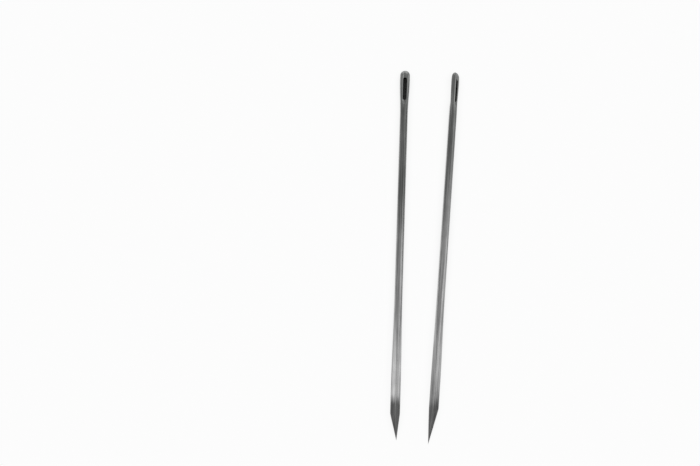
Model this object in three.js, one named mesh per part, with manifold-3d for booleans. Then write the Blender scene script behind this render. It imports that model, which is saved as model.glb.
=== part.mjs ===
// A pair of straight packing needles lying side by side on a flat surface, points towards -Y.
// Each needle is one length of round steel wire. One end is pressed flat, pierced with a long
// eye and given a thread gutter on both faces; the middle stays round; the other end is forged
// into a three-sided blade and ground to a point. The flat head and the rest of the needle are
// two solids that meet in a hairline seam at the neck. Millimetres, +Z up.

import * as THREE from 'three';
import { mergeVertices } from 'three/addons/utils/BufferGeometryUtils.js';
import Module from 'manifold-3d';

const wasm = await Module();
wasm.setup();
const { degToRad, lerp, smoothstep } = THREE.MathUtils;

// Wire
const needleLength = 152.4; // tip to crown
const wireDiameter = 2.946;

// Head, measured down from the top of the crown
const headWidth = 3.95; // across the crown
const headThickness = 2.3; // through the eye
const crownLength = 3.1; // solid metal above the eye
const crownTaper = 4.0; // to where the crown has its full thickness
const eyeLength = 9.7;
const eyeWidth = 1.45;
const neckLength = 5.4; // foot of the eye to the round shank
const neckSeam = 0.02; // between the solid of the head and that of the shank

// Gutter that the thread lies in, fading out in the crown and along the neck
const gutterWidth = 2.2;
const gutterDepth = 0.35;
const gutterAboveEye = 2.2;
const gutterBelowEye = 2.6;

// Blade, measured up from the tip
const bladeLength = 57; // to the first trace of the flats
const bladeFullLength = 22; // to where the flats have their full width
const bladeWidth = 3.8; // from edge to edge
const bladeEdgeRadius = 0.12;

// Point: two flats are ground down to a tip that lies in the plane of the third
const leftPointLength = 10.7;
const rightPointLength = 14.2;
const rightDrawOut = 1.0; // the right needle is drawn out this much longer at the tip
const tipRise = 0.54; // tip from the middle of that flat, towards its upper edge

// Lay of the pair, between the two needles' centre lines
const tipSpacing = 14.6;
const crownSpacing = 21.0;
const leftRoll = 0; // degrees about the needle's own length
const rightRoll = -125;

// Faceting
const sectionPoints = 36;
const crownRings = 6;
const headRings = 18;
const bladeRings = 10;
const gutterSteps = 20;
const roundSegments = 12;

const steel = new THREE.MeshStandardMaterial({ color: 0x8c8f8e, roughness: 0.36, metalness: 1.0 });

const wireRadius = wireDiameter / 2;
const eyeFoot = crownLength + eyeLength;
const headLength = eyeFoot + neckLength;
const neckHeight = needleLength - headLength; // from the tip
const bladeCorner = Math.PI / 3; // half of the turn from one blade edge to the next
const bladeCore = (bladeWidth / 2 - bladeEdgeRadius) / Math.sin(bladeCorner);
const bladeFlat = bladeCore * Math.cos(bladeCorner) + bladeEdgeRadius; // axis to a full flat

// A section is a regular core polygon grown all round by a rounding radius: a core of nothing
// is the round wire, two corners make the flat head and three corners the blade.
function sectionOutline({ y, corners, firstCorner, core, rounding }) {
  const half = Math.PI / corners;
  const step = (2 * Math.PI) / sectionPoints;
  const lastOnArc = half - step;
  const arcEnd = Math.atan2(rounding * Math.sin(half), core + rounding * Math.cos(half));
  const squeeze = Math.min(1, arcEnd / lastOnArc);
  const outline = [];
  for (let i = 0; i < sectionPoints; i++) {
    const fromFirst = i * step - firstCorner;
    const corner = Math.round(fromFirst / (2 * half)) * 2 * half;
    const middleOfFlat = Math.abs(fromFirst - corner) > lastOnArc + step / 2;
    const off = (fromFirst - corner) * (middleOfFlat ? 1 : squeeze);
    const onFlat = Math.abs(off) > arcEnd;
    const radius = onFlat
      ? (core * Math.cos(half) + rounding) / Math.cos(half - Math.abs(off))
      : core * Math.cos(off) + Math.sqrt(rounding ** 2 - (core * Math.sin(off)) ** 2);
    const angle = firstCorner + corner + off;
    outline.push(new THREE.Vector3(radius * Math.cos(angle), y, radius * Math.sin(angle)));
  }
  return outline;
}

// Half a width or thickness of the head, which is full at some reach below the top of the crown
function domed(full, reach, below) {
  return below < reach ? full * Math.sqrt(1 - (1 - below / reach) ** 2) : full;
}

function headSection(below) {
  const halfWidth = lerp(headWidth / 2, wireRadius, smoothstep(below, crownLength, headLength));
  const halfThickness = lerp(headThickness / 2, wireRadius, smoothstep(below, eyeFoot, headLength));
  const rounding = domed(halfThickness, crownTaper, below);
  const core = domed(halfWidth, headWidth / 2, below) - rounding;
  return { y: needleLength - below, corners: 2, firstCorner: 0, core, rounding };
}

function bladeSection(y) {
  const forged = smoothstep(bladeLength - y, 0, bladeLength - bladeFullLength);
  const rounding = lerp(wireRadius, bladeEdgeRadius, forged);
  return { y, corners: 3, firstCorner: Math.PI / 2, core: forged * bladeCore, rounding };
}

// Outlines of the blade and the round shank, from the shoulder of the point up to the neck
function shankOutlines(shoulder) {
  const sections = [bladeSection(shoulder)];
  for (let i = 0; i <= bladeRings; i++) {
    sections.push(bladeSection(lerp(bladeFullLength, bladeLength, i / bladeRings)));
  }
  sections.push(bladeSection(neckHeight - neckSeam));
  return sections.map(sectionOutline);
}

// Outlines of the head, from the neck up to the last one under the top of the crown
function headOutlines() {
  const crownRadius = headWidth / 2;
  const sections = [];
  for (let i = 0; i <= headRings; i++) {
    sections.push(headSection(lerp(headLength, crownRadius, i / headRings)));
  }
  for (let i = crownRings - 1; i > 0; i--) {
    const turn = (Math.PI / 2) * (i / crownRings);
    sections.push(headSection(crownRadius * (1 - Math.cos(turn))));
  }
  return sections.map(sectionOutline);
}

// Closed skin through the outlines, drawn together at a point at either end
function loft(start, outlines, end) {
  const positions = [start, ...outlines.flat(), end].flatMap((point) => point.toArray());
  const endIndex = outlines.length * sectionPoints + 1;
  const at = (ring, i) => 1 + ring * sectionPoints + (i % sectionPoints);
  const triangles = [];
  for (let i = 0; i < sectionPoints; i++) {
    triangles.push(0, at(0, i), at(0, i + 1));
    for (let ring = 0; ring + 1 < outlines.length; ring++) {
      triangles.push(at(ring, i), at(ring + 1, i), at(ring, i + 1));
      triangles.push(at(ring + 1, i), at(ring + 1, i + 1), at(ring, i + 1));
    }
    triangles.push(endIndex, at(outlines.length - 1, i + 1), at(outlines.length - 1, i));
  }
  const skin = new THREE.BufferGeometry();
  skin.setAttribute('position', new THREE.Float32BufferAttribute(positions, 3));
  skin.setIndex(triangles);
  return skin;
}

// Long slot with round ends, right through the flattened head
function eyeCutter() {
  const endRadius = eyeWidth / 2;
  const depth = 2 * headThickness;
  const slot = new THREE.Shape();
  slot.absarc(0, needleLength - crownLength - endRadius, endRadius, 0, Math.PI);
  slot.absarc(0, needleLength - eyeFoot + endRadius, endRadius, Math.PI, 2 * Math.PI);
  const cutter = new THREE.ExtrudeGeometry(slot, {
    depth,
    bevelEnabled: false,
    curveSegments: roundSegments,
  });
  return cutter.translate(0, 0, -depth / 2);
}

// Round-nosed cut that follows the face of the head: it sinks in above the eye, is deepest beside
// it and comes out again along the neck, ending just clear of the metal
function gutterCutter(face) {
  const noseRadius = (gutterWidth ** 2 / 4 + gutterDepth ** 2) / (2 * gutterDepth);
  const start = crownLength - gutterAboveEye;
  const end = eyeFoot + gutterBelowEye;
  const path = [];
  for (let i = 0; i <= gutterSteps; i++) {
    const below = lerp(start, end, i / gutterSteps);
    const sinking = smoothstep(below, start, crownLength);
    const rising = 1 - smoothstep(below, eyeFoot, end);
    const nose = headSection(below).rounding + lerp(neckSeam, -gutterDepth, sinking * rising);
    path.push(new THREE.Vector3(0, needleLength - below, face * (nose + noseRadius)));
  }
  const disc = new THREE.Shape();
  disc.absarc(0, 0, noseRadius, 0, 2 * Math.PI);
  return new THREE.ExtrudeGeometry(disc, {
    steps: gutterSteps,
    extrudePath: new THREE.CatmullRomCurve3(path),
    curveSegments: 2 * roundSegments,
  });
}

function toSolid(geometry) {
  const bare = geometry.clone();
  bare.deleteAttribute('normal');
  bare.deleteAttribute('uv');
  const merged = mergeVertices(bare);
  return new wasm.Manifold(
    new wasm.Mesh({
      numProp: 3,
      vertProperties: merged.attributes.position.array,
      triVerts: new Uint32Array(merged.index.array),
    }),
  );
}

function toGeometry(solid) {
  const { vertProperties, triVerts } = solid.getMesh();
  const geometry = new THREE.BufferGeometry();
  geometry.setAttribute('position', new THREE.BufferAttribute(vertProperties, 3));
  geometry.setIndex(new THREE.BufferAttribute(triVerts, 1));
  geometry.computeVertexNormals();
  return geometry;
}

function makeHead(name) {
  const neck = new THREE.Vector3(0, neckHeight, 0);
  const crown = new THREE.Vector3(0, needleLength, 0);
  const blank = toSolid(loft(neck, headOutlines(), crown));
  const cutters = [eyeCutter(), gutterCutter(1), gutterCutter(-1)].map(toSolid);
  const head = cutters.reduce((metal, cutter) => metal.subtract(cutter), blank);
  const mesh = new THREE.Mesh(toGeometry(head), steel);
  mesh.name = name;
  return mesh;
}

function makeShank(name, pointLength, drawOut) {
  const flatFaces = Math.PI / 6; // the flat that stays unground faces this way, from +X to +Z
  const tip = new THREE.Vector3(
    bladeFlat * Math.cos(flatFaces) - tipRise * Math.sin(flatFaces),
    -drawOut,
    bladeFlat * Math.sin(flatFaces) + tipRise * Math.cos(flatFaces),
  );
  const neck = new THREE.Vector3(0, neckHeight - neckSeam, 0);
  const shank = loft(tip, shankOutlines(pointLength - drawOut), neck);
  shank.computeVertexNormals();
  const mesh = new THREE.Mesh(shank, steel);
  mesh.name = name;
  return mesh;
}

// A needle lies on its round shank. Where its rolled head reaches lower than the shank, the
// head lifts that end, and the needle touches down at the head and at the top of the blade.
function layDown(needle, { tipX, roll, splay }) {
  const rollAngle = degToRad(roll);
  const headDrop = headThickness / 2 + ((headWidth - headThickness) / 2) * Math.abs(Math.sin(rollAngle));
  const lift = Math.max(0, headDrop - wireRadius);
  const pitch = Math.asin(lift / (needleLength - crownLength - bladeLength));
  needle.rotation.set(pitch, rollAngle, -splay, 'ZXY');
  needle.position.x = tipX;
  needle.position.z = -new THREE.Box3().setFromObject(needle, true).min.z;
}

const leftNeedle = new THREE.Group();
leftNeedle.add(makeHead('left_head'), makeShank('left_shank', leftPointLength, 0));
layDown(leftNeedle, { tipX: 0, roll: leftRoll, splay: 0 });

const rightNeedle = new THREE.Group();
const spread = Math.asin((crownSpacing - tipSpacing) / needleLength);
rightNeedle.add(makeHead('right_head'), makeShank('right_shank', rightPointLength, rightDrawOut));
layDown(rightNeedle, { tipX: tipSpacing, roll: rightRoll, splay: spread });

const pair = new THREE.Group();
pair.add(leftNeedle, rightNeedle);

// The origin is on the surface, under the middle of the pair
const middle = new THREE.Box3().setFromObject(pair, true).getCenter(new THREE.Vector3());
pair.position.set(-middle.x, -middle.y, 0);

export default pair;
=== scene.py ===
"""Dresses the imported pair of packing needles, lying side by side in a plain studio.

Each needle is drawn again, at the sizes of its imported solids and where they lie, as one unbroken
length of steel that is finer than they are: the eye gets rounded rims, the gutter soft lips and the
point crisp ground flats. Sizes are in millimetres and angles in degrees, unless a comment says
otherwise. A mesh is set down in metres, as the frame is.
"""

import logging
import math
from dataclasses import dataclass, field
from enum import Enum
from typing import Any

import bmesh
import bpy
import numpy as np
import numpy.typing as npt
from mathutils import Matrix, Vector


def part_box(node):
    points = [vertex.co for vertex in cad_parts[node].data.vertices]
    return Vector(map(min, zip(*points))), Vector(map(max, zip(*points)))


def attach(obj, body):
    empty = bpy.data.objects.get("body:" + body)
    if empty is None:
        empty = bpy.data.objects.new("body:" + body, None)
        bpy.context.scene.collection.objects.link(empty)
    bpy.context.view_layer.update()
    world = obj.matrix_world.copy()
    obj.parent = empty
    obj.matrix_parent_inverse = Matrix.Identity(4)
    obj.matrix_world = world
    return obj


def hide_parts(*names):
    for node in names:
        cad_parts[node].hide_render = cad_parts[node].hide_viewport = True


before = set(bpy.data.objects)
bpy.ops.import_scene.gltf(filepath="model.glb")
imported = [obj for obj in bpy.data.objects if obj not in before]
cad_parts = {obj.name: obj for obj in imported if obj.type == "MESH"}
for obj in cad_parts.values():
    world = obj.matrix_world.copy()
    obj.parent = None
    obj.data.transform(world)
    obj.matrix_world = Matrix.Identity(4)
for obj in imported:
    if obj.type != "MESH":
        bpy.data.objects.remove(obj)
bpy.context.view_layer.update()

log = logging.getLogger("packing_needles")

Points = npt.NDArray[np.float64]
Stop = tuple[float, str]  # place and colour on a colour ramp
Sockets = dict[str, bpy.types.NodeSocket]

MM = 0.001

# How finely a needle is drawn
HALF_POINTS = 61  # on half of an outline, from the middle of its underside to the middle of its top
WALL_POINTS = 13  # through the eye, from one rim to the other
SIDE_STEPS = 120  # round a side of the head, before its points are spread out
FACE_STEPS = 160  # across half a face of the head, likewise
EDGE_STEPS = 160  # round an edge of the blade, likewise
CROWN_ROWS = 18  # outlines round the dome of the crown
CROWN_START = 4.0  # turn from the top of the dome to the first of them
HEAD_STEP = 0.3  # between the outlines of the head's sides
EYE_END_ROWS = 14  # outlines round each end of the eye
RIM_ROWS = (0.12, 0.3, 0.55, 0.8, 1.0, 1.5)  # outlines over a rim of the eye, by its radius
HEAD_LEAST_STEP = 0.012  # between any two outlines of the head
SHANK_STEPS = 24  # from the neck to the blade
FORGING_STEPS = 35  # over the length where the flats grow
BLADE_STEPS = 6  # over the length where they have their full width
POINT_STEPS = 24  # from the shoulder to the tip
BEND_WEIGHT = 1.0  # length of outline that a bend of one radian counts for when points are spread out
SAME_PLACE = 1e-4  # distance at which two points count as one
LEAST_EDGE = 1e-5  # length under which an edge is taken out of the mesh
LEAST_LINE = 1e-7  # length under which a step is taken out of a finely drawn line

# Attributes of a needle's mesh that its steel reads
PLACE = "needle_mm"  # place on the needle: across, along from the tip, and through the eye
EDGE = "edge"  # 0 on a flat to 1 on a sharp edge, which fades out beside it
HOLLOW = "hollow"  # depth in the gutter, up to GUTTER_HOLLOW, and 1 on the wall of the eye, which the painted shade follows
GROUND = "ground"  # 1 on the flats of the point that were ground
PAINTED_SHEEN = "painted_sheen"  # painted reflection: brightness of the steel, against that of an evenly polished needle
WEAR_HIGHLIGHT_WIDTH = 0.3  # width on either side of a sharp edge that is worn with it, which on the head is a painted highlight
GUTTER_HOLLOW = 0.8

NOISE_RANGE = {"From Min": 0.3, "From Max": 0.7}  # nearly all of a noise pattern lies between these


class Side(Enum):
    """One of the two needles, seen from above with the points nearest."""

    LEFT = "left"
    RIGHT = "right"


def linear(colour: str) -> tuple[float, float, float, float]:
    """Turns an sRGB hex colour into a linear one.

    Args:
        colour: Six hex digits after a hash sign.

    Returns:
        Linear red, green and blue, with an alpha of 1.
    """
    parts = [int(colour[i : i + 2], 16) / 255 for i in (1, 3, 5)]
    red, green, blue = (c / 12.92 if c <= 0.04045 else ((c + 0.055) / 1.055) ** 2.4 for c in parts)
    return red, green, blue, 1.0


def mix(low: float, high: float, share: float) -> float:
    """Returns the value at a share of the way from low to high."""
    return low + (high - low) * share


def ease(value: float, start: float, end: float) -> float:
    """Rises smoothly from 0 to 1 between two values.

    Args:
        value: Where to read the curve.
        start: The last value that gives 0.
        end: The first value that gives 1.

    Returns:
        A share from 0 to 1.
    """
    share = min(1.0, max(0.0, (value - start) / (end - start)))
    return share * share * (3 - 2 * share)


def direction(azimuth: float, elevation: float) -> Vector:
    """Gives the way to something seen from the origin.

    Args:
        azimuth: Degrees round from -Y towards +X.
        elevation: Degrees above the floor.

    Returns:
        A vector of length 1.
    """
    round_z, up = math.radians(azimuth), math.radians(elevation)
    flat = math.cos(up)
    return Vector((math.sin(round_z) * flat, -math.cos(round_z) * flat, math.sin(up)))


def add_node(
    tree: bpy.types.NodeTree,
    kind: str,
    inputs: dict[str | int, Any] | None = None,
    stops: list[Stop] | None = None,
    **settings: Any,
) -> bpy.types.Node:
    """Adds a node to a tree, with its settings and links.

    Args:
        tree: The tree that gets the node.
        kind: Blender's name for the kind of node.
        inputs: For each input, by name or number, a value or the output socket to link from.
        stops: Places and sRGB hex colours of a colour ramp, which starts out with two stops.
        settings: Properties of the node itself.

    Returns:
        The new node.
    """
    node = tree.nodes.new(kind)
    for name, value in settings.items():
        setattr(node, name, value)
    for key, value in (inputs or {}).items():
        if isinstance(value, bpy.types.NodeSocket):
            tree.links.new(value, node.inputs[key])
        else:
            node.inputs[key].default_value = value
    for i, (place, colour) in enumerate(stops or []):
        ramp = node.color_ramp.elements
        stop = ramp[i] if i < 2 else ramp.new(place)
        stop.position, stop.color = place, linear(colour)
    return node


@dataclass(frozen=True)
class HalfOutline:
    """Half of a needle's outline at one height, from under its middle to over its middle."""

    points: Points  # places across, along and through the needle
    edge: Points  # sharpness of the needle at each of them
    hollow: Points  # depth of each in the gutter or the eye

    @classmethod
    def at_point(cls, place: npt.ArrayLike) -> "HalfOutline":
        """Draws an outline together at one place, where the needle ends."""
        none = np.zeros(HALF_POINTS)
        return cls(np.tile(place, (HALF_POINTS, 1)), none, none)

    @classmethod
    def along(cls, line: Points, y: float, hollow: Points | None = None) -> "HalfOutline":
        """Spreads points along a finely drawn line, closer together where it bends.

        Args:
            line: Places across and through the needle, in order.
            y: Height above the tip.
            hollow: How deep each place of the line is in the gutter, if it reaches it.

        Returns:
            The outline. A point is as sharp as the sharpest bend near it, less with its distance.
        """
        deep = np.zeros(len(line)) if hollow is None else hollow
        fresh = np.r_[True, np.hypot(*np.diff(line, axis=0).T) > LEAST_LINE]
        line, deep = line[fresh], deep[fresh]
        step = np.diff(line, axis=0)
        length = np.hypot(*step.T)
        bend = np.abs(np.diff(np.unwrap(np.arctan2(step[:, 1], step[:, 0]))))
        bending = BEND_WEIGHT * (np.r_[0, bend] + np.r_[bend, 0]) / 2

        # Every two points have an equal share of length and bending between them
        weight = length + bending
        so_far = np.r_[0, np.cumsum(weight)]
        at = np.linspace(0, so_far[-1], HALF_POINTS)
        x, z = np.interp(at, so_far, line[:, 0]), np.interp(at, so_far, line[:, 1])

        # The line is sharp where bending outweighs length
        middles = (so_far[1:] + so_far[:-1]) / 2
        sharp = np.interp(at, middles, bending / weight)
        run = np.interp(at, so_far, np.r_[0, np.cumsum(length)])
        apart = (run[:, None] - run) / WEAR_HIGHLIGHT_WIDTH
        return cls(
            points=np.column_stack([x, np.full(HALF_POINTS, y), z]),
            edge=(sharp * np.exp(-(apart**2))).max(1),
            hollow=np.interp(at, so_far, deep),
        )

    def handed(self, hand: int) -> "HalfOutline":
        """Returns the outline for the right half, where hand is 1, or mirrored for the left, -1."""
        return HalfOutline(self.points * [hand, 1, 1], self.edge, self.hollow)

    def drawn_to(self, place: Points, share: float) -> "HalfOutline":
        """Moves the outline a share of the way to one place."""
        return HalfOutline(self.points + (place - self.points) * share, self.edge, self.hollow)


@dataclass(frozen=True)
class Wire:
    """The length of round wire that a needle is made from."""

    length: float = 152.4  # 6 inches
    diameter: float = 2.946  # gauge 11 in the standard wire gauge

    @property
    def radius(self) -> float:
        """Half the wire's diameter."""
        return self.diameter / 2


@dataclass(frozen=True)
class Head:
    """Flattened end of the wire, with a long eye and a gutter for the thread on both faces."""

    wire: Wire
    width: float = 3.95
    thickness: float = 2.3
    crown_length: float = 3.1  # solid metal above the eye
    crown_taper: float = 4.0  # to where the crown has its full thickness
    eye_length: float = 9.7
    eye_width: float = 1.45
    eye_rim: float = 0.14  # radius that the rims of the eye are rounded to
    eye_waist: float = 0.2  # closes in half way through, because the eye is pierced from both faces
    neck_length: float = 5.4
    gutter_width: float = 2.2
    gutter_depth: float = 0.35
    gutter_above_eye: float = 2.2
    gutter_below_eye: float = 2.6
    gutter_lip: float = 0.06  # softness of the gutter's lips

    @property
    def eye_foot(self) -> float:
        """Depth of the foot of the eye below the crown."""
        return self.crown_length + self.eye_length

    @property
    def length(self) -> float:
        """Depth of the end of the neck below the crown."""
        return self.eye_foot + self.neck_length

    @property
    def gutter_nose(self) -> float:
        """Radius of the round nose that cuts the gutter to its width and depth."""
        return (self.gutter_width**2 / 4 + self.gutter_depth**2) / (2 * self.gutter_depth)

    def drop(self, roll: float) -> float:
        """Returns how far the head reaches below its middle when it is rolled, in radians."""
        return self.thickness / 2 + (self.width - self.thickness) / 2 * abs(math.sin(roll))

    def depths(self) -> Points:
        """Depths below the crown at which the head's outlines are drawn.

        Returns:
            Depths in order, close together in the crown and round the ends of the eye.
        """
        turn = np.radians(np.linspace(CROWN_START, 90, CROWN_ROWS))
        crown = self.width / 2 * (1 - np.cos(turn))
        sides = np.arange(self.width / 2, self.length, HEAD_STEP)
        quarter = np.radians(np.linspace(0, 90, EYE_END_ROWS))
        eye_end = np.r_[-self.eye_rim * np.array(RIM_ROWS), self.eye_width / 2 * (1 - np.cos(quarter))]
        depths = np.sort(np.r_[crown, sides, self.crown_length + eye_end, self.eye_foot - eye_end])
        exact = np.array([self.crown_length, self.eye_foot, self.length])
        roomy = np.r_[True, np.diff(depths) > HEAD_LEAST_STEP]
        roomy &= np.abs(depths[:, None] - exact).min(1) > HEAD_LEAST_STEP
        return np.unique(np.r_[depths[roomy], exact])

    @staticmethod
    def domed(full: float, reach: float, depth: float) -> float:
        """Returns half a width or thickness, which is full at some reach below the crown."""
        return full * math.sqrt(1 - (1 - depth / reach) ** 2) if depth < reach else full

    def has_eye(self, depth: float) -> bool:
        """Tells whether a depth below the crown is in the eye, its two ends included."""
        return self.crown_length - SAME_PLACE < depth < self.eye_foot + SAME_PLACE

    def past_eye_straight(self, depth: float) -> float:
        """Returns how far a depth is past the straight part of the eye's sides."""
        reach = self.eye_width / 2
        return max(0.0, self.crown_length + reach - depth, depth - (self.eye_foot - reach))

    def eye_opening(self, depth: float) -> float:
        """Returns half the width of the eye at a depth below the crown."""
        return math.sqrt(max(0.0, (self.eye_width / 2) ** 2 - self.past_eye_straight(depth) ** 2))

    def gutter_share(self, depth: float) -> float:
        """Returns the share of its full depth that the gutter has at a depth below the crown."""
        sinking = ease(depth, self.crown_length - self.gutter_above_eye, self.crown_length)
        return sinking * (1 - ease(depth, self.eye_foot, self.eye_foot + self.gutter_below_eye))

    def cut_gutter(self, x: Points, height: Points, top: float, depth: float) -> Points:
        """Cuts the gutter into a face of the head.

        Args:
            x: Places across the head.
            height: Height of the uncut face at each of them.
            top: Height of the face where it is flat.
            depth: Distance below the top of the crown.

        Returns:
            Heights of the cut face.
        """
        share = self.gutter_share(depth)
        if share == 0:
            return height
        nose = self.gutter_nose
        floor = top - self.gutter_depth * share + nose - np.sqrt(nose**2 - np.minimum(x, nose) ** 2)
        # The lower of face and floor, rounded where they cross, which makes the soft lips
        overlap = np.clip(0.5 + (height - floor) / (2 * self.gutter_lip), 0, 1)
        return height + (floor - height) * overlap - self.gutter_lip * overlap * (1 - overlap)

    def rim_drop(self, x: Points, depth: float) -> Points:
        """Tells how far the rims of the eye fall away.

        Args:
            x: Places across the head.
            depth: Distance below the top of the crown.

        Returns:
            The drop at each place, which is 0 away from the eye.
        """
        from_eye = np.hypot(x, self.past_eye_straight(depth)) - self.eye_width / 2
        left = self.eye_rim - np.clip(from_eye, 0, self.eye_rim)
        return self.eye_rim - np.sqrt(self.eye_rim**2 - left**2)

    def outline(self, depth: float) -> HalfOutline:
        """Draws half of the head's outline.

        Args:
            depth: Distance below the top of the crown.

        Returns:
            The outline, which starts and ends at the rims of the eye where that is open.
        """
        half_width = mix(self.width / 2, self.wire.radius, ease(depth, self.crown_length, self.length))
        half_thick = mix(self.thickness / 2, self.wire.radius, ease(depth, self.eye_foot, self.length))
        rounding = self.domed(half_thick, self.crown_taper, depth)
        core = self.domed(half_width, self.width / 2, depth) - rounding
        opening = self.eye_opening(depth)

        turn = np.linspace(0, math.acos(max(0.0, opening - core) / rounding), SIDE_STEPS + 1)
        face = np.linspace(max(core, opening), opening, FACE_STEPS + 1)[1:]
        x = np.r_[core + rounding * np.cos(turn), face]
        height = rounding * np.sin(np.r_[turn, np.full(len(face), turn[-1])])
        z = self.cut_gutter(x, height, rounding, depth)
        if rounding > self.eye_rim:
            z = z - self.rim_drop(x, depth)

        hollow = GUTTER_HOLLOW * np.clip((height - z) / self.gutter_depth, 0, 1)
        upper = np.column_stack([x, z])
        lower = upper[:0:-1] * [1, -1]
        line = np.concatenate([lower, upper])
        return HalfOutline.along(line, self.wire.length - depth, np.r_[hollow[:0:-1], hollow])


@dataclass(frozen=True)
class Blade:
    """End of the wire that is forged to three flats, with a ridge along the top."""

    wire: Wire
    length: float = 57.0  # tip to the first trace of the flats
    full_length: float = 22.0  # tip to where the flats have their full width
    width: float = 3.8
    edge_radius: float = 0.12
    flats: tuple[float, float, float] = (-90.0, 30.0, 150.0)  # ways they face, turned from across
    flat_reach: float = 60.0  # turn from the middle of a flat to its edges

    @property
    def core(self) -> float:
        """Distance from the axis to the middle of a full edge's rounding."""
        return (self.width / 2 - self.edge_radius) / math.sin(math.pi / 3)

    @property
    def flat(self) -> float:
        """Distance from the axis to a full flat."""
        return self.core / 2 + self.edge_radius

    def forged(self, y: float) -> float:
        """Returns how far the wire is forged at a height, from 0 where it is round to 1."""
        return ease(self.length - y, 0, self.length - self.full_length)

    def outline(self, y: float) -> HalfOutline:
        """Draws half of the blade's outline, which is round where the forging has run out.

        Args:
            y: Height above the tip.

        Returns:
            The outline, from the middle of the lower flat to the ridge.
        """
        forged = self.forged(y)
        rounding = mix(self.wire.radius, self.edge_radius, forged)
        core = forged * self.core
        under, beside, _ = self.flats
        low = np.radians(np.linspace(under, beside, EDGE_STEPS + 1))
        ridge = np.radians(np.linspace(beside, beside + self.flat_reach, EDGE_STEPS // 2 + 1))
        x = np.r_[0, core * math.cos(math.pi / 6) + rounding * np.cos(low), rounding * np.cos(ridge)]
        z = np.r_[-core / 2 + rounding * np.sin(low), core + rounding * np.sin(ridge)]
        x[-1] = 0
        return HalfOutline.along(np.column_stack([x, np.r_[z[0], z]]), y)


@dataclass(frozen=True)
class Point:
    """Ground end of the blade: two flats run down to a tip in the plane of the third."""

    blade: Blade
    length: float
    draw_out: float  # tip past the end of a needle of the usual length
    tip_rise: float = 0.54  # tip from the middle of the flat that stays, towards its upper edge
    level: float = 0.97  # cosine of the turn within which a face belongs to the flat that stays

    @property
    def shoulder(self) -> float:
        """Height at which the ground flats begin."""
        return self.length - self.draw_out

    @property
    def kept_flat(self) -> Vector:
        """Direction in which the flat faces that stays as it was forged."""
        angle = math.radians(self.blade.flats[1])
        return Vector((math.cos(angle), 0, math.sin(angle)))

    @property
    def tip(self) -> Points:
        """Place of the tip."""
        rise = self.kept_flat.cross(Vector((0, 1, 0))) * self.tip_rise
        return np.array(self.kept_flat * self.blade.flat + rise) - [0, self.draw_out, 0]

    def outlines(self, hand: int) -> list[HalfOutline]:
        """Draws half of the point, from its shoulder to its tip.

        Args:
            hand: 1 for the right half and -1 for the left one.

        Returns:
            The outlines, with the shoulder first and the tip last.
        """
        shoulder = self.blade.outline(self.shoulder).handed(hand)
        shares = np.linspace(0, 1, POINT_STEPS + 1)[1:-1]
        flats = [shoulder.drawn_to(self.tip, share) for share in shares]
        return [shoulder, *flats, HalfOutline.at_point(self.tip)]

    def was_ground(self, face: bmesh.types.BMFace) -> bool:
        """Tells whether a face belongs to one of the ground flats."""
        on_point = max(vert.co.y for vert in face.verts) <= self.shoulder + SAME_PLACE
        return on_point and face.normal.dot(self.kept_flat) < self.level


@dataclass(frozen=True)
class Grain:
    """A pattern of marks in the steel, drawn by noise at a size in millimetres."""

    across: float  # width of a mark across the needle, and through it
    along: float  # length of a mark along the needle
    detail: float  # number of times that finer marks are laid over it
    dark: float  # brightness of the darkest marks, against that of plain steel
    light: float  # brightness of the lightest ones
    waver: float = 0.0  # distance that it moves the borders between the steel's colours by
    depth: float = 0.0  # of its relief
    relief: float = 0.0  # share of that relief that shows

    def noise(
        self, tree: bpy.types.NodeTree, place: bpy.types.NodeSocket, seed: float
    ) -> bpy.types.NodeSocket:
        """Adds the pattern to a material.

        Args:
            tree: The material's nodes.
            place: Socket with the place on the needle.
            seed: Number that makes it differ from the same pattern on another needle.

        Returns:
            Socket with the pattern.
        """
        scaled = add_node(
            tree,
            "ShaderNodeMapping",
            {"Vector": place, "Scale": (1 / self.across, 1 / self.along, 1 / self.across)},
        )
        pattern = add_node(
            tree,
            "ShaderNodeTexNoise",
            {"Vector": scaled.outputs["Vector"], "W": seed, "Scale": 1.0, "Detail": self.detail},
            noise_dimensions="4D",
        )
        return pattern.outputs["Fac"]


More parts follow.
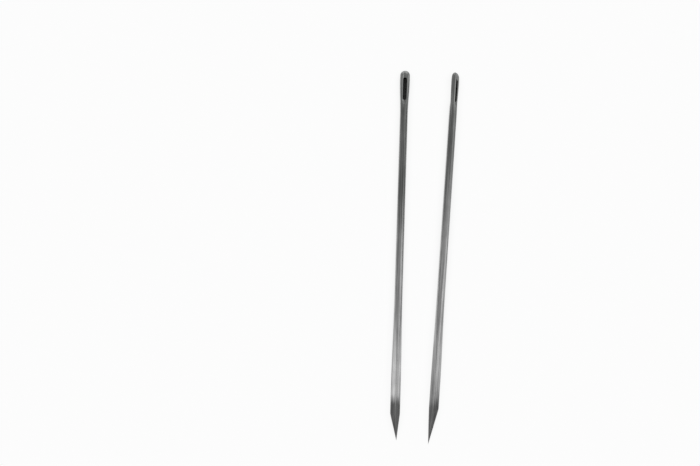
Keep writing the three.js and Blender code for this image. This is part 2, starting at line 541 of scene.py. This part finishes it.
@dataclass(frozen=True)
class NeedleSteel:
    """Carbon steel wire, drawn, forged and hardened, then given a dull polishing along its length."""

    # Drawing and lengthwise polishing leave fine lines that break a reflection into long streaks.
    # The flats of the blade carry a painted reflection: each is painted a brightness of its own, and
    # darker towards its edges. The quenched end is dark and smoky. Painted shade darkens the shank
    # towards the pressed head, paints the inside of the eye black and darkens the gutter. Edges, lips
    # and the crown are worn to an even grey, lighter than the dark steel and duller than the flats,
    # which on the head is a painted highlight.
    name: str
    seed: float
    painted_sheen: tuple[float, float, float]  # painted reflection in the middle of each flat, against an even finish
    dark_length: float  # of the quenched end
    dark_fade: float  # length over which it clears
    unshaded_length: float  # tip to where painted shade begins to darken the shank

    # Colours along the needle, and where one gives way to the next. The upper shank and the head are
    # darker, which is painted shade
    point: str = "#4f4f4f"
    blade: str = "#aeaeae"
    shank: str = "#909090"
    shaded_upper_shank: str = "#636463"
    head: str = "#737473"
    blade_past_full: float = 8.0  # length past the full flats that still has the blade's colour
    shank_before_round: float = 6.0  # length before the wire is round that already has the shank's
    shading_length: float = 40.0  # length over which painted shade darkens the shank

    # Painted reflection on the flats, which runs out towards the shank and the dark end
    edge_painted_shade: float = 0.76  # painted shade along the edges of every flat
    edge_fall: float = 1.5  # power by which it falls to that from the middle of a flat
    edge_change: float = 3.0  # turn on either side of an edge in which one flat's gives way to the next
    shank_fall: float = 2.0  # power by which it runs out faster than the forging
    dark_under: float = 2.0  # distance below the border of the dark end at which it is gone
    dark_over: float = 3.0  # distance above that border at which it is full

    # Wear, which is a painted highlight on the head's rims, and painted shade in the eye and gutter
    worn_highlight: str = "#959594"
    wear_highlight: float = 0.26  # share of the worn colour on a sharp edge, which on the head is a painted highlight
    wear_highlight_from: float = 0.44  # sharpness at which it begins
    wear_highlight_full: float = 0.9  # sharpness at which it is full
    # Painted shade: darker in the gutter and near black on the wall of the eye
    hollow_shade: str = "#1d1d1c"
    hollow_shade_share: tuple[Stop, ...] = (  # painted shade, by depth in the gutter, and last on the wall of the eye
        (0.1, "#000000"),
        (0.7, "#636363"),
        (0.84, "#636363"),
        (1.0, "#fbfbfb"),
    )

    # Satin steel has a roughness of about 0.3. It is lower where it is clear and higher under a film
    clear_roughness: float = 0.24
    film_roughness: float = 0.38
    hollow_roughness: float = 0.2  # added inside the eye

    # Real drawing lines are about 0.03 mm wide and real grinding marks, which run across the point,
    # about 0.05 mm. Both are too fine to show at this size, so they are drawn coarser.
    lines: Grain = Grain(0.22, 18.0, detail=3.0, dark=0.76, light=1.24, depth=0.02, relief=0.5)
    grit: Grain = Grain(3.0, 0.14, detail=2.0, dark=0.84, light=1.16, depth=0.025, relief=0.6)
    streaks: Grain = Grain(0.5, 30.0, detail=1.0, dark=0.64, light=1.36, waver=6.0)
    film: Grain = Grain(2.6, 5.2, detail=4.0, dark=0.88, light=1.12, waver=3.0)

    @property
    def grains(self) -> dict[str, Grain]:
        """The steel's patterns by name."""
        return {"lines": self.lines, "grit": self.grit, "streaks": self.streaks, "film": self.film}

    def painted_sheen_at(self, blade: Blade, place: Vector) -> float:
        """Tells how bright the painted reflection on the steel is at one place.

        Args:
            blade: The blade whose flats carry the painted reflection.
            place: Across, along and through the needle.

        Returns:
            Brightness against an even finish, which the round shank and the dark end have.
        """
        angle = math.degrees(math.atan2(place.z, place.x))
        turns = np.array([abs((angle - flat + 180) % 360 - 180) for flat in blade.flats])
        last_turn = blade.flat_reach + self.edge_change
        near = np.clip((last_turn - turns) / (2 * self.edge_change), 0, 1)
        flat = float(near @ self.painted_sheen / near.sum())
        off_middle = math.tan(math.radians(min(turns))) / math.tan(math.radians(blade.flat_reach))
        tone = mix(flat, self.edge_painted_shade, min(1.0, off_middle) ** self.edge_fall)
        above_dark = ease(place.y, self.dark_length - self.dark_under, self.dark_length + self.dark_over)
        return mix(1.0, tone, blade.forged(place.y) ** self.shank_fall * above_dark)

    def surface(self, tree: bpy.types.NodeTree) -> Sockets:
        """Adds what the steel's colour, gloss and relief are worked out from.

        Args:
            tree: The material's nodes.

        Returns:
            A socket for each attribute of the mesh and for each pattern, by name, and one for the
            grinding marks, which are 1 on average and wherever nothing was ground.
        """
        place = add_node(tree, "ShaderNodeAttribute", attribute_name=PLACE).outputs["Vector"]
        found: Sockets = {PLACE: place}
        for name in (EDGE, HOLLOW, GROUND, PAINTED_SHEEN):
            found[name] = add_node(tree, "ShaderNodeAttribute", attribute_name=name).outputs["Fac"]
        for name, grain in self.grains.items():
            found[name] = grain.noise(tree, place, self.seed)
        scored = add_node(
            tree,
            "ShaderNodeMapRange",
            {
                "Value": found["grit"],
                **NOISE_RANGE,
                "To Min": self.grit.dark - 1,
                "To Max": self.grit.light - 1,
            },
        )
        marks = add_node(
            tree,
            "ShaderNodeMath",
            {0: scored.outputs["Result"], 1: found[GROUND], 2: 1.0},
            operation="MULTIPLY_ADD",
        )
        return found | {"marks": marks.outputs[0]}

    def tone(self, tree: bpy.types.NodeTree, surface: Sockets, sizes: "Needle") -> bpy.types.NodeSocket:
        """Adds the colour of the steel along the needle, from its dark end to its head, with painted
        shade towards the head.

        Args:
            tree: The material's nodes.
            surface: What surface() gave.
            sizes: The needle, which gives where each colour begins.

        Returns:
            Socket with the colour.
        """
        # The borders between the colours waver with the film, and the streaks run across them
        border = add_node(tree, "ShaderNodeSeparateXYZ", {"Vector": surface[PLACE]}).outputs["Y"]
        for name in ("film", "streaks"):
            border = add_node(
                tree,
                "ShaderNodeMath",
                {0: surface[name], 1: self.grains[name].waver, 2: border},
                operation="MULTIPLY_ADD",
            ).outputs[0]
        middle = (self.film.waver + self.streaks.waver) / 2
        length = sizes.wire.length
        share = add_node(tree, "ShaderNodeMath", {0: border, 1: length}, operation="DIVIDE")
        zones = [
            (self.dark_length - self.dark_fade / 2, self.point),
            (self.dark_length + self.dark_fade / 2, self.blade),
            (sizes.blade.full_length + self.blade_past_full, self.blade),
            (sizes.blade.length - self.shank_before_round, self.shank),
            # Painted shade darkens the upper shank and the head
            (self.unshaded_length, self.shank),
            (self.unshaded_length + self.shading_length, self.shaded_upper_shank),
            (length - sizes.head.length, self.shaded_upper_shank),
            (length - sizes.head.eye_foot, self.head),
        ]
        stops = [((y + middle) / length, colour) for y, colour in zones]
        return add_node(tree, "ShaderNodeValToRGB", {"Fac": share.outputs[0]}, stops).outputs["Color"]

    def painted_sheen_and_grain(self, tree: bpy.types.NodeTree, surface: Sockets) -> bpy.types.NodeSocket:
        """Adds the brightness of the painted reflection on the steel, with its patterns and grinding
        marks.

        Args:
            tree: The material's nodes.
            surface: What surface() gave.

        Returns:
            Socket with the brightness, against that of an even finish.
        """
        bright = surface[PAINTED_SHEEN]
        for name in ("streaks", "lines", "film"):
            grain = self.grains[name]
            shade = add_node(
                tree,
                "ShaderNodeMapRange",
                {"Value": surface[name], **NOISE_RANGE, "To Min": grain.dark, "To Max": grain.light},
            )
            bright = add_node(
                tree, "ShaderNodeMath", {0: bright, 1: shade.outputs["Result"]}, operation="MULTIPLY"
            ).outputs[0]
        marked = add_node(
            tree, "ShaderNodeMath", {0: bright, 1: surface["marks"]}, operation="MULTIPLY"
        )
        return marked.outputs[0]

    def colour(self, tree: bpy.types.NodeTree, surface: Sockets, sizes: "Needle") -> bpy.types.NodeSocket:
        """Adds the steel's colour, with painted reflection, a painted highlight on the head's rims and
        painted shade in the hollows.

        Args:
            tree: The material's nodes.
            surface: What surface() gave.
            sizes: The needle that the steel is for.

        Returns:
            Socket with the colour.
        """
        metal = add_node(
            tree,
            "ShaderNodeVectorMath",
            {"Vector": self.tone(tree, surface, sizes), "Scale": self.painted_sheen_and_grain(tree, surface)},
            operation="SCALE",
        )
        # Wear gives sharp edges an even grey, which on the head's rims is a painted highlight
        rubbed_highlight = add_node(
            tree,
            "ShaderNodeMapRange",
            {
                "Value": surface[EDGE],
                "From Min": self.wear_highlight_from,
                "From Max": self.wear_highlight_full,
                "To Min": 0.0,
                "To Max": self.wear_highlight,
            },
        )
        # Painted shade: darker in the gutter and near black on the wall of the eye
        painted_hollow_share = add_node(tree, "ShaderNodeValToRGB", {"Fac": surface[HOLLOW]}, list(self.hollow_shade_share))
        # A colour mix has its factor at input 0, its colours at 6 and 7, and its result at output 2
        worn_highlight = add_node(
            tree,
            "ShaderNodeMix",
            {0: rubbed_highlight.outputs["Result"], 6: metal.outputs["Vector"], 7: linear(self.worn_highlight)},
            data_type="RGBA",
        )
        painted_hollow = add_node(
            tree,
            "ShaderNodeMix",
            {0: painted_hollow_share.outputs["Color"], 6: worn_highlight.outputs[2], 7: linear(self.hollow_shade)},
            data_type="RGBA",
        )
        return painted_hollow.outputs[2]

    def gloss(self, tree: bpy.types.NodeTree, surface: Sockets) -> bpy.types.NodeSocket:
        """Adds the roughness of the steel.

        Args:
            tree: The material's nodes.
            surface: What surface() gave.

        Returns:
            Socket with the roughness.
        """
        rough = add_node(
            tree,
            "ShaderNodeMapRange",
            {
                "Value": surface["film"],
                **NOISE_RANGE,
                "To Min": self.film_roughness,
                "To Max": self.clear_roughness,
            },
        )
        dull = add_node(
            tree,
            "ShaderNodeMath",
            {0: surface[HOLLOW], 1: self.hollow_roughness, 2: rough.outputs["Result"]},
            operation="MULTIPLY_ADD",
        )
        return dull.outputs[0]

    def relief(self, tree: bpy.types.NodeTree, surface: Sockets) -> bpy.types.NodeSocket:
        """Adds lines along the wire everywhere, and grinding marks across the ground flats.

        Args:
            tree: The material's nodes.
            surface: What surface() gave.

        Returns:
            Socket with the normal.
        """
        lined = add_node(
            tree,
            "ShaderNodeBump",
            {
                "Height": surface["lines"],
                "Strength": self.lines.relief,
                "Distance": self.lines.depth * MM,
            },
        )
        marked = add_node(
            tree,
            "ShaderNodeBump",
            {
                "Height": surface["marks"],
                "Strength": self.grit.relief,
                "Distance": self.grit.depth * MM,
                "Normal": lined.outputs["Normal"],
            },
        )
        return marked.outputs["Normal"]

    def material(self, sizes: "Needle") -> bpy.types.Material:
        """Makes the steel's material.

        Args:
            sizes: The needle that it is for, which gives where each colour of the steel begins.

        Returns:
            The material.
        """
        made = bpy.data.materials.new(self.name)
        made.use_nodes = True
        tree = made.node_tree
        surface = self.surface(tree)
        shader = tree.nodes["Principled BSDF"].inputs
        shader["Metallic"].default_value = 1.0
        tree.links.new(self.colour(tree, surface, sizes), shader["Base Color"])
        tree.links.new(self.gloss(tree, surface), shader["Roughness"])
        tree.links.new(self.relief(tree, surface), shader["Normal"])
        return made


@dataclass
class Needle:
    """One packing needle, forged from a single length of wire, as it lies on the surface."""

    side: Side
    steel: NeedleSteel
    point_length: float
    draw_out: float = 0.0  # tip past the usual length
    roll: float = 0.0  # about its own length, in radians
    splay: float = 0.0  # away from straight along the frame, in radians
    wire: Wire = field(default_factory=Wire)
    head: Head = field(init=False)
    blade: Blade = field(init=False)
    point: Point = field(init=False)

    def __post_init__(self) -> None:
        """Makes the needle's three shaped parts to the size of its wire."""
        self.head = Head(self.wire)
        self.blade = Blade(self.wire)
        self.point = Point(self.blade, self.point_length, self.draw_out)

    @property
    def body(self) -> str:
        """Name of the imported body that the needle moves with."""
        return f"{self.side.value}_needle"

    @property
    def nodes(self) -> tuple[str, str]:
        """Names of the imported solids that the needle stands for."""
        return f"{self.side.value}_head", f"{self.side.value}_shank"

    def outlines(self, hand: int) -> list[HalfOutline]:
        """Draws half of the needle.

        Args:
            hand: 1 for the right half and -1 for the left one.

        Returns:
            Half outlines in order, from the top of the crown to the tip.
        """
        crown = HalfOutline.at_point((0, self.wire.length, 0))
        head = [self.head.outline(depth) for depth in self.head.depths()]
        neck = self.wire.length - self.head.length
        shank = np.linspace(neck, self.blade.length, SHANK_STEPS + 1)[1:]
        forging = np.linspace(self.blade.length, self.blade.full_length, FORGING_STEPS + 1)[1:]
        straight = np.linspace(self.blade.full_length, self.point.shoulder, BLADE_STEPS + 1)[1:-1]
        blade = [self.blade.outline(y) for y in np.r_[shank, forging, straight]]
        unground = [outline.handed(hand) for outline in (crown, *head, *blade)]
        return unground + self.point.outlines(hand)

    def eye_wall(self, outlines: list[HalfOutline]) -> list[HalfOutline]:
        """Draws half of the wall inside the eye.

        Args:
            outlines: The needle's outlines on that half.

        Returns:
            A line from the upper rim to the lower one, for each outline that the eye is open in.
        """
        reach = self.head.eye_width / 2
        top = self.wire.length - self.head.crown_length - reach
        foot = self.wire.length - self.head.eye_foot + reach
        shares = np.linspace(0, 1, WALL_POINTS)[:, None]
        walls = []
        for outline in outlines:
            x, y, _ = outline.points[0]
            if self.head.has_eye(self.wire.length - y):
                # The waist closes in towards the middle line of the eye
                inwards = np.array([-x, np.clip(y, foot, top) - y, 0]) / reach
                line = outline.points[-1] * (1 - shares) + outline.points[0] * shares
                line = line + inwards * self.head.eye_waist * np.sin(math.pi * shares)
                hollow = np.r_[outline.hollow[-1], np.ones(WALL_POINTS - 2), outline.hollow[0]]
                walls.append(HalfOutline(line, np.zeros(WALL_POINTS), hollow))
        return walls

    def placement(self, mesh: bpy.types.Mesh) -> Matrix:
        """Works out where the needle lies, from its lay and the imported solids' place.

        Args:
            mesh: The needle along its own axis, in millimetres.

        Returns:
            The matrix from the needle's millimetres to the frame's metres.
        """
        # The needle tips up where its head reaches lower than its shank
        lift = max(0.0, self.head.drop(self.roll) - self.wire.radius)
        run = self.wire.length - self.head.crown_length - self.blade.length
        turn = (
            Matrix.Rotation(-self.splay, 4, "Z")
            @ Matrix.Rotation(math.asin(lift / run), 4, "X")
            @ Matrix.Rotation(self.roll, 4, "Y")
            @ Matrix.Scale(MM, 4)
        )
        corners = np.array([turn @ vert.co for vert in mesh.vertices])
        solids = np.array([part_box(node) for node in self.nodes])
        low, high = solids[:, 0].min(0), solids[:, 1].max(0)
        move = (low + high) / 2 - (corners.min(0) + corners.max(0)) / 2
        move[2] = low[2] - corners[:, 2].min()
        return Matrix.Translation(move) @ turn

    def add_strip(self, skin: bmesh.types.BMesh, outlines: list[HalfOutline]) -> None:
        """Adds the faces between half outlines that follow each other.

        Args:
            skin: The mesh that gets them, with the attributes of its points.
            outlines: Half outlines with as many points each.
        """
        layers = skin.verts.layers
        place, edge = layers.float_vector[PLACE], layers.float[EDGE]
        hollow, painted_sheen = layers.float[HOLLOW], layers.float[PAINTED_SHEEN]
        above: list[bmesh.types.BMVert] = []
        for outline in outlines:
            row = [skin.verts.new(point) for point in outline.points]
            for vert, sharp, deep in zip(row, outline.edge, outline.hollow):
                vert[place], vert[edge], vert[hollow] = vert.co, sharp, deep
                # Painted reflection, by where the point lies on the blade's flats
                vert[painted_sheen] = self.steel.painted_sheen_at(self.blade, vert.co)
            for i in range(len(above) - 1):
                skin.faces.new((above[i], above[i + 1], row[i + 1], row[i]))
            above = row

    def mark_point(self, skin: bmesh.types.BMesh) -> None:
        """Marks the ground flats, and keeps the shoulder above them crisp on a smooth needle.

        Args:
            skin: The needle along its own axis, whole.
        """
        ground = skin.faces.layers.float[GROUND]
        for face in skin.faces:
            face.smooth = True
            face[ground] = float(self.point.was_ground(face))
        for rim in skin.edges:
            if all(abs(vert.co.y - self.point.shoulder) < SAME_PLACE for vert in rim.verts):
                rim.smooth = False

    def build(self) -> bpy.types.Object:
        """Builds the needle's mesh and sets it where its solids are.

        Returns:
            The needle, with the attributes that its steel reads.
        """
        skin = bmesh.new()
        skin.verts.layers.float_vector.new(PLACE)
        for name in (EDGE, HOLLOW, PAINTED_SHEEN):
            skin.verts.layers.float.new(name)
        skin.faces.layers.float.new(GROUND)
        for hand in (1, -1):
            outlines = self.outlines(hand)
            self.add_strip(skin, outlines)
            self.add_strip(skin, self.eye_wall(outlines))
        bmesh.ops.remove_doubles(skin, verts=skin.verts, dist=SAME_PLACE)
        bmesh.ops.dissolve_degenerate(skin, edges=skin.edges, dist=LEAST_EDGE)
        bmesh.ops.recalc_face_normals(skin, faces=skin.faces)
        self.mark_point(skin)
        mesh = bpy.data.meshes.new(self.body)
        skin.to_mesh(mesh)
        skin.free()
        mesh.transform(self.placement(mesh))
        needle = bpy.data.objects.new(self.body, mesh)
        bpy.context.scene.collection.objects.link(needle)
        return needle

    def dress(self, needle: bpy.types.Object) -> None:
        """Gives the needle its steel and ties it to the frame.

        Args:
            needle: The needle that build() made.
        """
        needle.data.materials.append(self.steel.material(self))
        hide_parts(*self.nodes)
        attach(needle, self.body)


@dataclass(frozen=True)
class Board:
    """Matt grey board that shows white wherever it lies open to the room."""

    # The white comes from Light Path, so that no extra light falls on the steel. It gives way to the
    # board's own grey where the needles shut the room out, which keeps their shadow.
    name: str = "matt_board"
    colour: str = "#434342"
    white: float = 0.975  # brightness of the white, in the picture and in reflections
    roughness: float = 0.9
    shade_reach: float = 8.0  # distance within which a needle shuts the room out
    shade: tuple[Stop, ...] = ((0.42, "#000000"), (0.58, "#f6f6f6"), (0.9, "#ffffff"))  # by open room
    shade_rays: int = 64

    def material(self) -> bpy.types.Material:
        """Makes the board's material.

        Returns:
            The material.
        """
        made = bpy.data.materials.new(self.name)
        made.use_nodes = True
        tree = made.node_tree
        shader = tree.nodes["Principled BSDF"]
        shader.inputs["Base Color"].default_value = linear(self.colour)
        shader.inputs["Roughness"].default_value = self.roughness
        shader.inputs["Specular IOR Level"].default_value = 0.0
        room = add_node(
            tree,
            "ShaderNodeAmbientOcclusion",
            {"Distance": self.shade_reach * MM},
            samples=self.shade_rays,
        )
        share = add_node(tree, "ShaderNodeValToRGB", {"Fac": room.outputs["AO"]}, list(self.shade))
        rays = add_node(tree, "ShaderNodeLightPath").outputs
        seen = rays["Is Camera Ray"]
        for kind in ("Is Glossy Ray", "Is Transmission Ray"):
            seen = add_node(
                tree, "ShaderNodeMath", {0: seen, 1: rays[kind]}, operation="MAXIMUM"
            ).outputs[0]
        white = add_node(
            tree, "ShaderNodeMath", {0: seen, 1: share.outputs["Color"]}, operation="MULTIPLY"
        ).outputs[0]
        glow = add_node(tree, "ShaderNodeEmission", {"Color": (1, 1, 1, 1), "Strength": self.white})
        both = add_node(
            tree,
            "ShaderNodeMixShader",
            {0: white, 1: shader.outputs["BSDF"], 2: glow.outputs["Emission"]},
        )
        tree.links.new(both.outputs["Shader"], tree.nodes["Material Output"].inputs["Surface"])
        return made


@dataclass(frozen=True)
class SoftLamp:
    """A wide lamp so far away that its light is even all over the floor."""

    name: str
    azimuth: float
    elevation: float
    spread: float  # angle that the lamp takes up
    brightness: float  # share of a white floor's full brightness that it gives

    def build(self) -> None:
        """Makes the lamp."""
        data = bpy.data.lights.new(self.name, "SUN")
        data.angle = math.radians(self.spread)
        data.energy = self.brightness * math.pi / math.sin(math.radians(self.elevation))
        lamp = bpy.data.objects.new(self.name, data)
        lamp.rotation_mode = "QUATERNION"
        lamp.rotation_quaternion = direction(self.azimuth, self.elevation).to_track_quat("Z", "Y")
        bpy.context.scene.collection.objects.link(lamp)


@dataclass
class Studio:
    """Plain room with a pale floor, a soft lamp on the right, one at the back, and a camera."""

    board: Board = field(default_factory=Board)
    floor_reach: float = 60.0  # metres from the middle of the floor to its corners
    floor_gap: float = 0.01  # between the floor and the needles
    room: float = 0.75  # strength of the even light from all round
    lamps: tuple[SoftLamp, ...] = (
        SoftLamp("key_lamp", azimuth=100, elevation=35, spread=60, brightness=0.09),
        SoftLamp("back_lamp", azimuth=180, elevation=18, spread=50, brightness=0.07),
    )
    lens: float = 70.0
    nearest: float = 10.0  # distance from the lens within which nothing is drawn
    aim: tuple[float, float, float] = (-30.71, 7.25, 0.0)  # place in the middle of the picture
    azimuth: float = 2.10  # of the camera, from that place
    elevation: float = 78.0
    distance: float = 553.4

    def build_floor(self) -> None:
        """Lays the floor just under the needles, as one triangle, since a seam would show as a line."""
        sheet = bmesh.new()
        corners = [self.floor_reach * direction(azimuth, 0) for azimuth in (0, 120, 240)]
        under = -self.floor_gap * MM
        sheet.faces.new([sheet.verts.new((corner.x, corner.y, under)) for corner in corners])
        mesh = bpy.data.meshes.new("floor")
        sheet.to_mesh(mesh)
        sheet.free()
        mesh.materials.append(self.board.material())
        floor = bpy.data.objects.new("floor", mesh)
        bpy.context.scene.collection.objects.link(floor)

    def build_room(self) -> None:
        """Makes the room's own light, which is even all round."""
        world = bpy.data.worlds.new("room")
        bpy.context.scene.world = world
        world.use_nodes = True
        light = world.node_tree.nodes["Background"].inputs
        light["Color"].default_value = (1, 1, 1, 1)
        light["Strength"].default_value = self.room

    def build_camera(self) -> None:
        """Sets the camera up at the photograph's viewing angle."""
        data = bpy.data.cameras.new("camera")
        data.lens = self.lens
        data.clip_start = self.nearest * MM
        camera = bpy.data.objects.new("camera", data)
        back = direction(self.azimuth, self.elevation)
        camera.location = (Vector(self.aim) + back * self.distance) * MM
        camera.rotation_mode = "QUATERNION"
        camera.rotation_quaternion = back.to_track_quat("Z", "Y")
        bpy.context.scene.collection.objects.link(camera)
        bpy.context.scene.camera = camera

    def build(self) -> None:
        """Builds the floor, the light and the camera."""
        self.build_floor()
        self.build_room()
        for lamp in self.lamps:
            lamp.build()
        self.build_camera()
        bpy.context.scene.view_settings.view_transform = "Standard"


def left_needle() -> Needle:
    """Describes the needle that lies straight, with its ridge up.

    Returns:
        The needle, not built yet.
    """
    steel = NeedleSteel(
        "drawn_steel_left",
        seed=3.0,
        # Painted reflection, a brightness for each of the three flats
        painted_sheen=(1.0, 1.04, 1.55),
        dark_length=16.0,
        dark_fade=3.6,
        unshaded_length=60.0,
    )
    return Needle(Side.LEFT, steel, point_length=10.7)


def right_needle() -> Needle:
    """Describes the needle that lies rolled over and splays out towards its head.

    Returns:
        The needle, not built yet.
    """
    steel = NeedleSteel(
        "drawn_steel_right",
        seed=11.0,
        # Painted reflection, a brightness for each of the three flats
        painted_sheen=(0.88, 0.5, 1.0),
        dark_length=17.4,
        dark_fade=7.0,
        unshaded_length=80.0,
    )
    crowns_apart, tips_apart = 21.0, 14.6
    return Needle(
        Side.RIGHT,
        steel,
        point_length=14.2,
        draw_out=1.0,
        roll=math.radians(-125),
        splay=math.asin((crowns_apart - tips_apart) / Wire().length),
    )


def main() -> None:
    """Builds the studio and the two needles, and reports each piece."""
    logging.basicConfig(level=logging.INFO, format="%(name)s: %(message)s")
    log.info("frame has the solids %s", ", ".join(sorted(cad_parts)))
    Studio().build()
    log.info("studio built")
    for needle in (left_needle(), right_needle()):
        piece = needle.build()
        needle.dress(piece)
        log.info("%s built with %d faces", piece.name, len(piece.data.polygons))


if __name__ == "__main__":
    main()
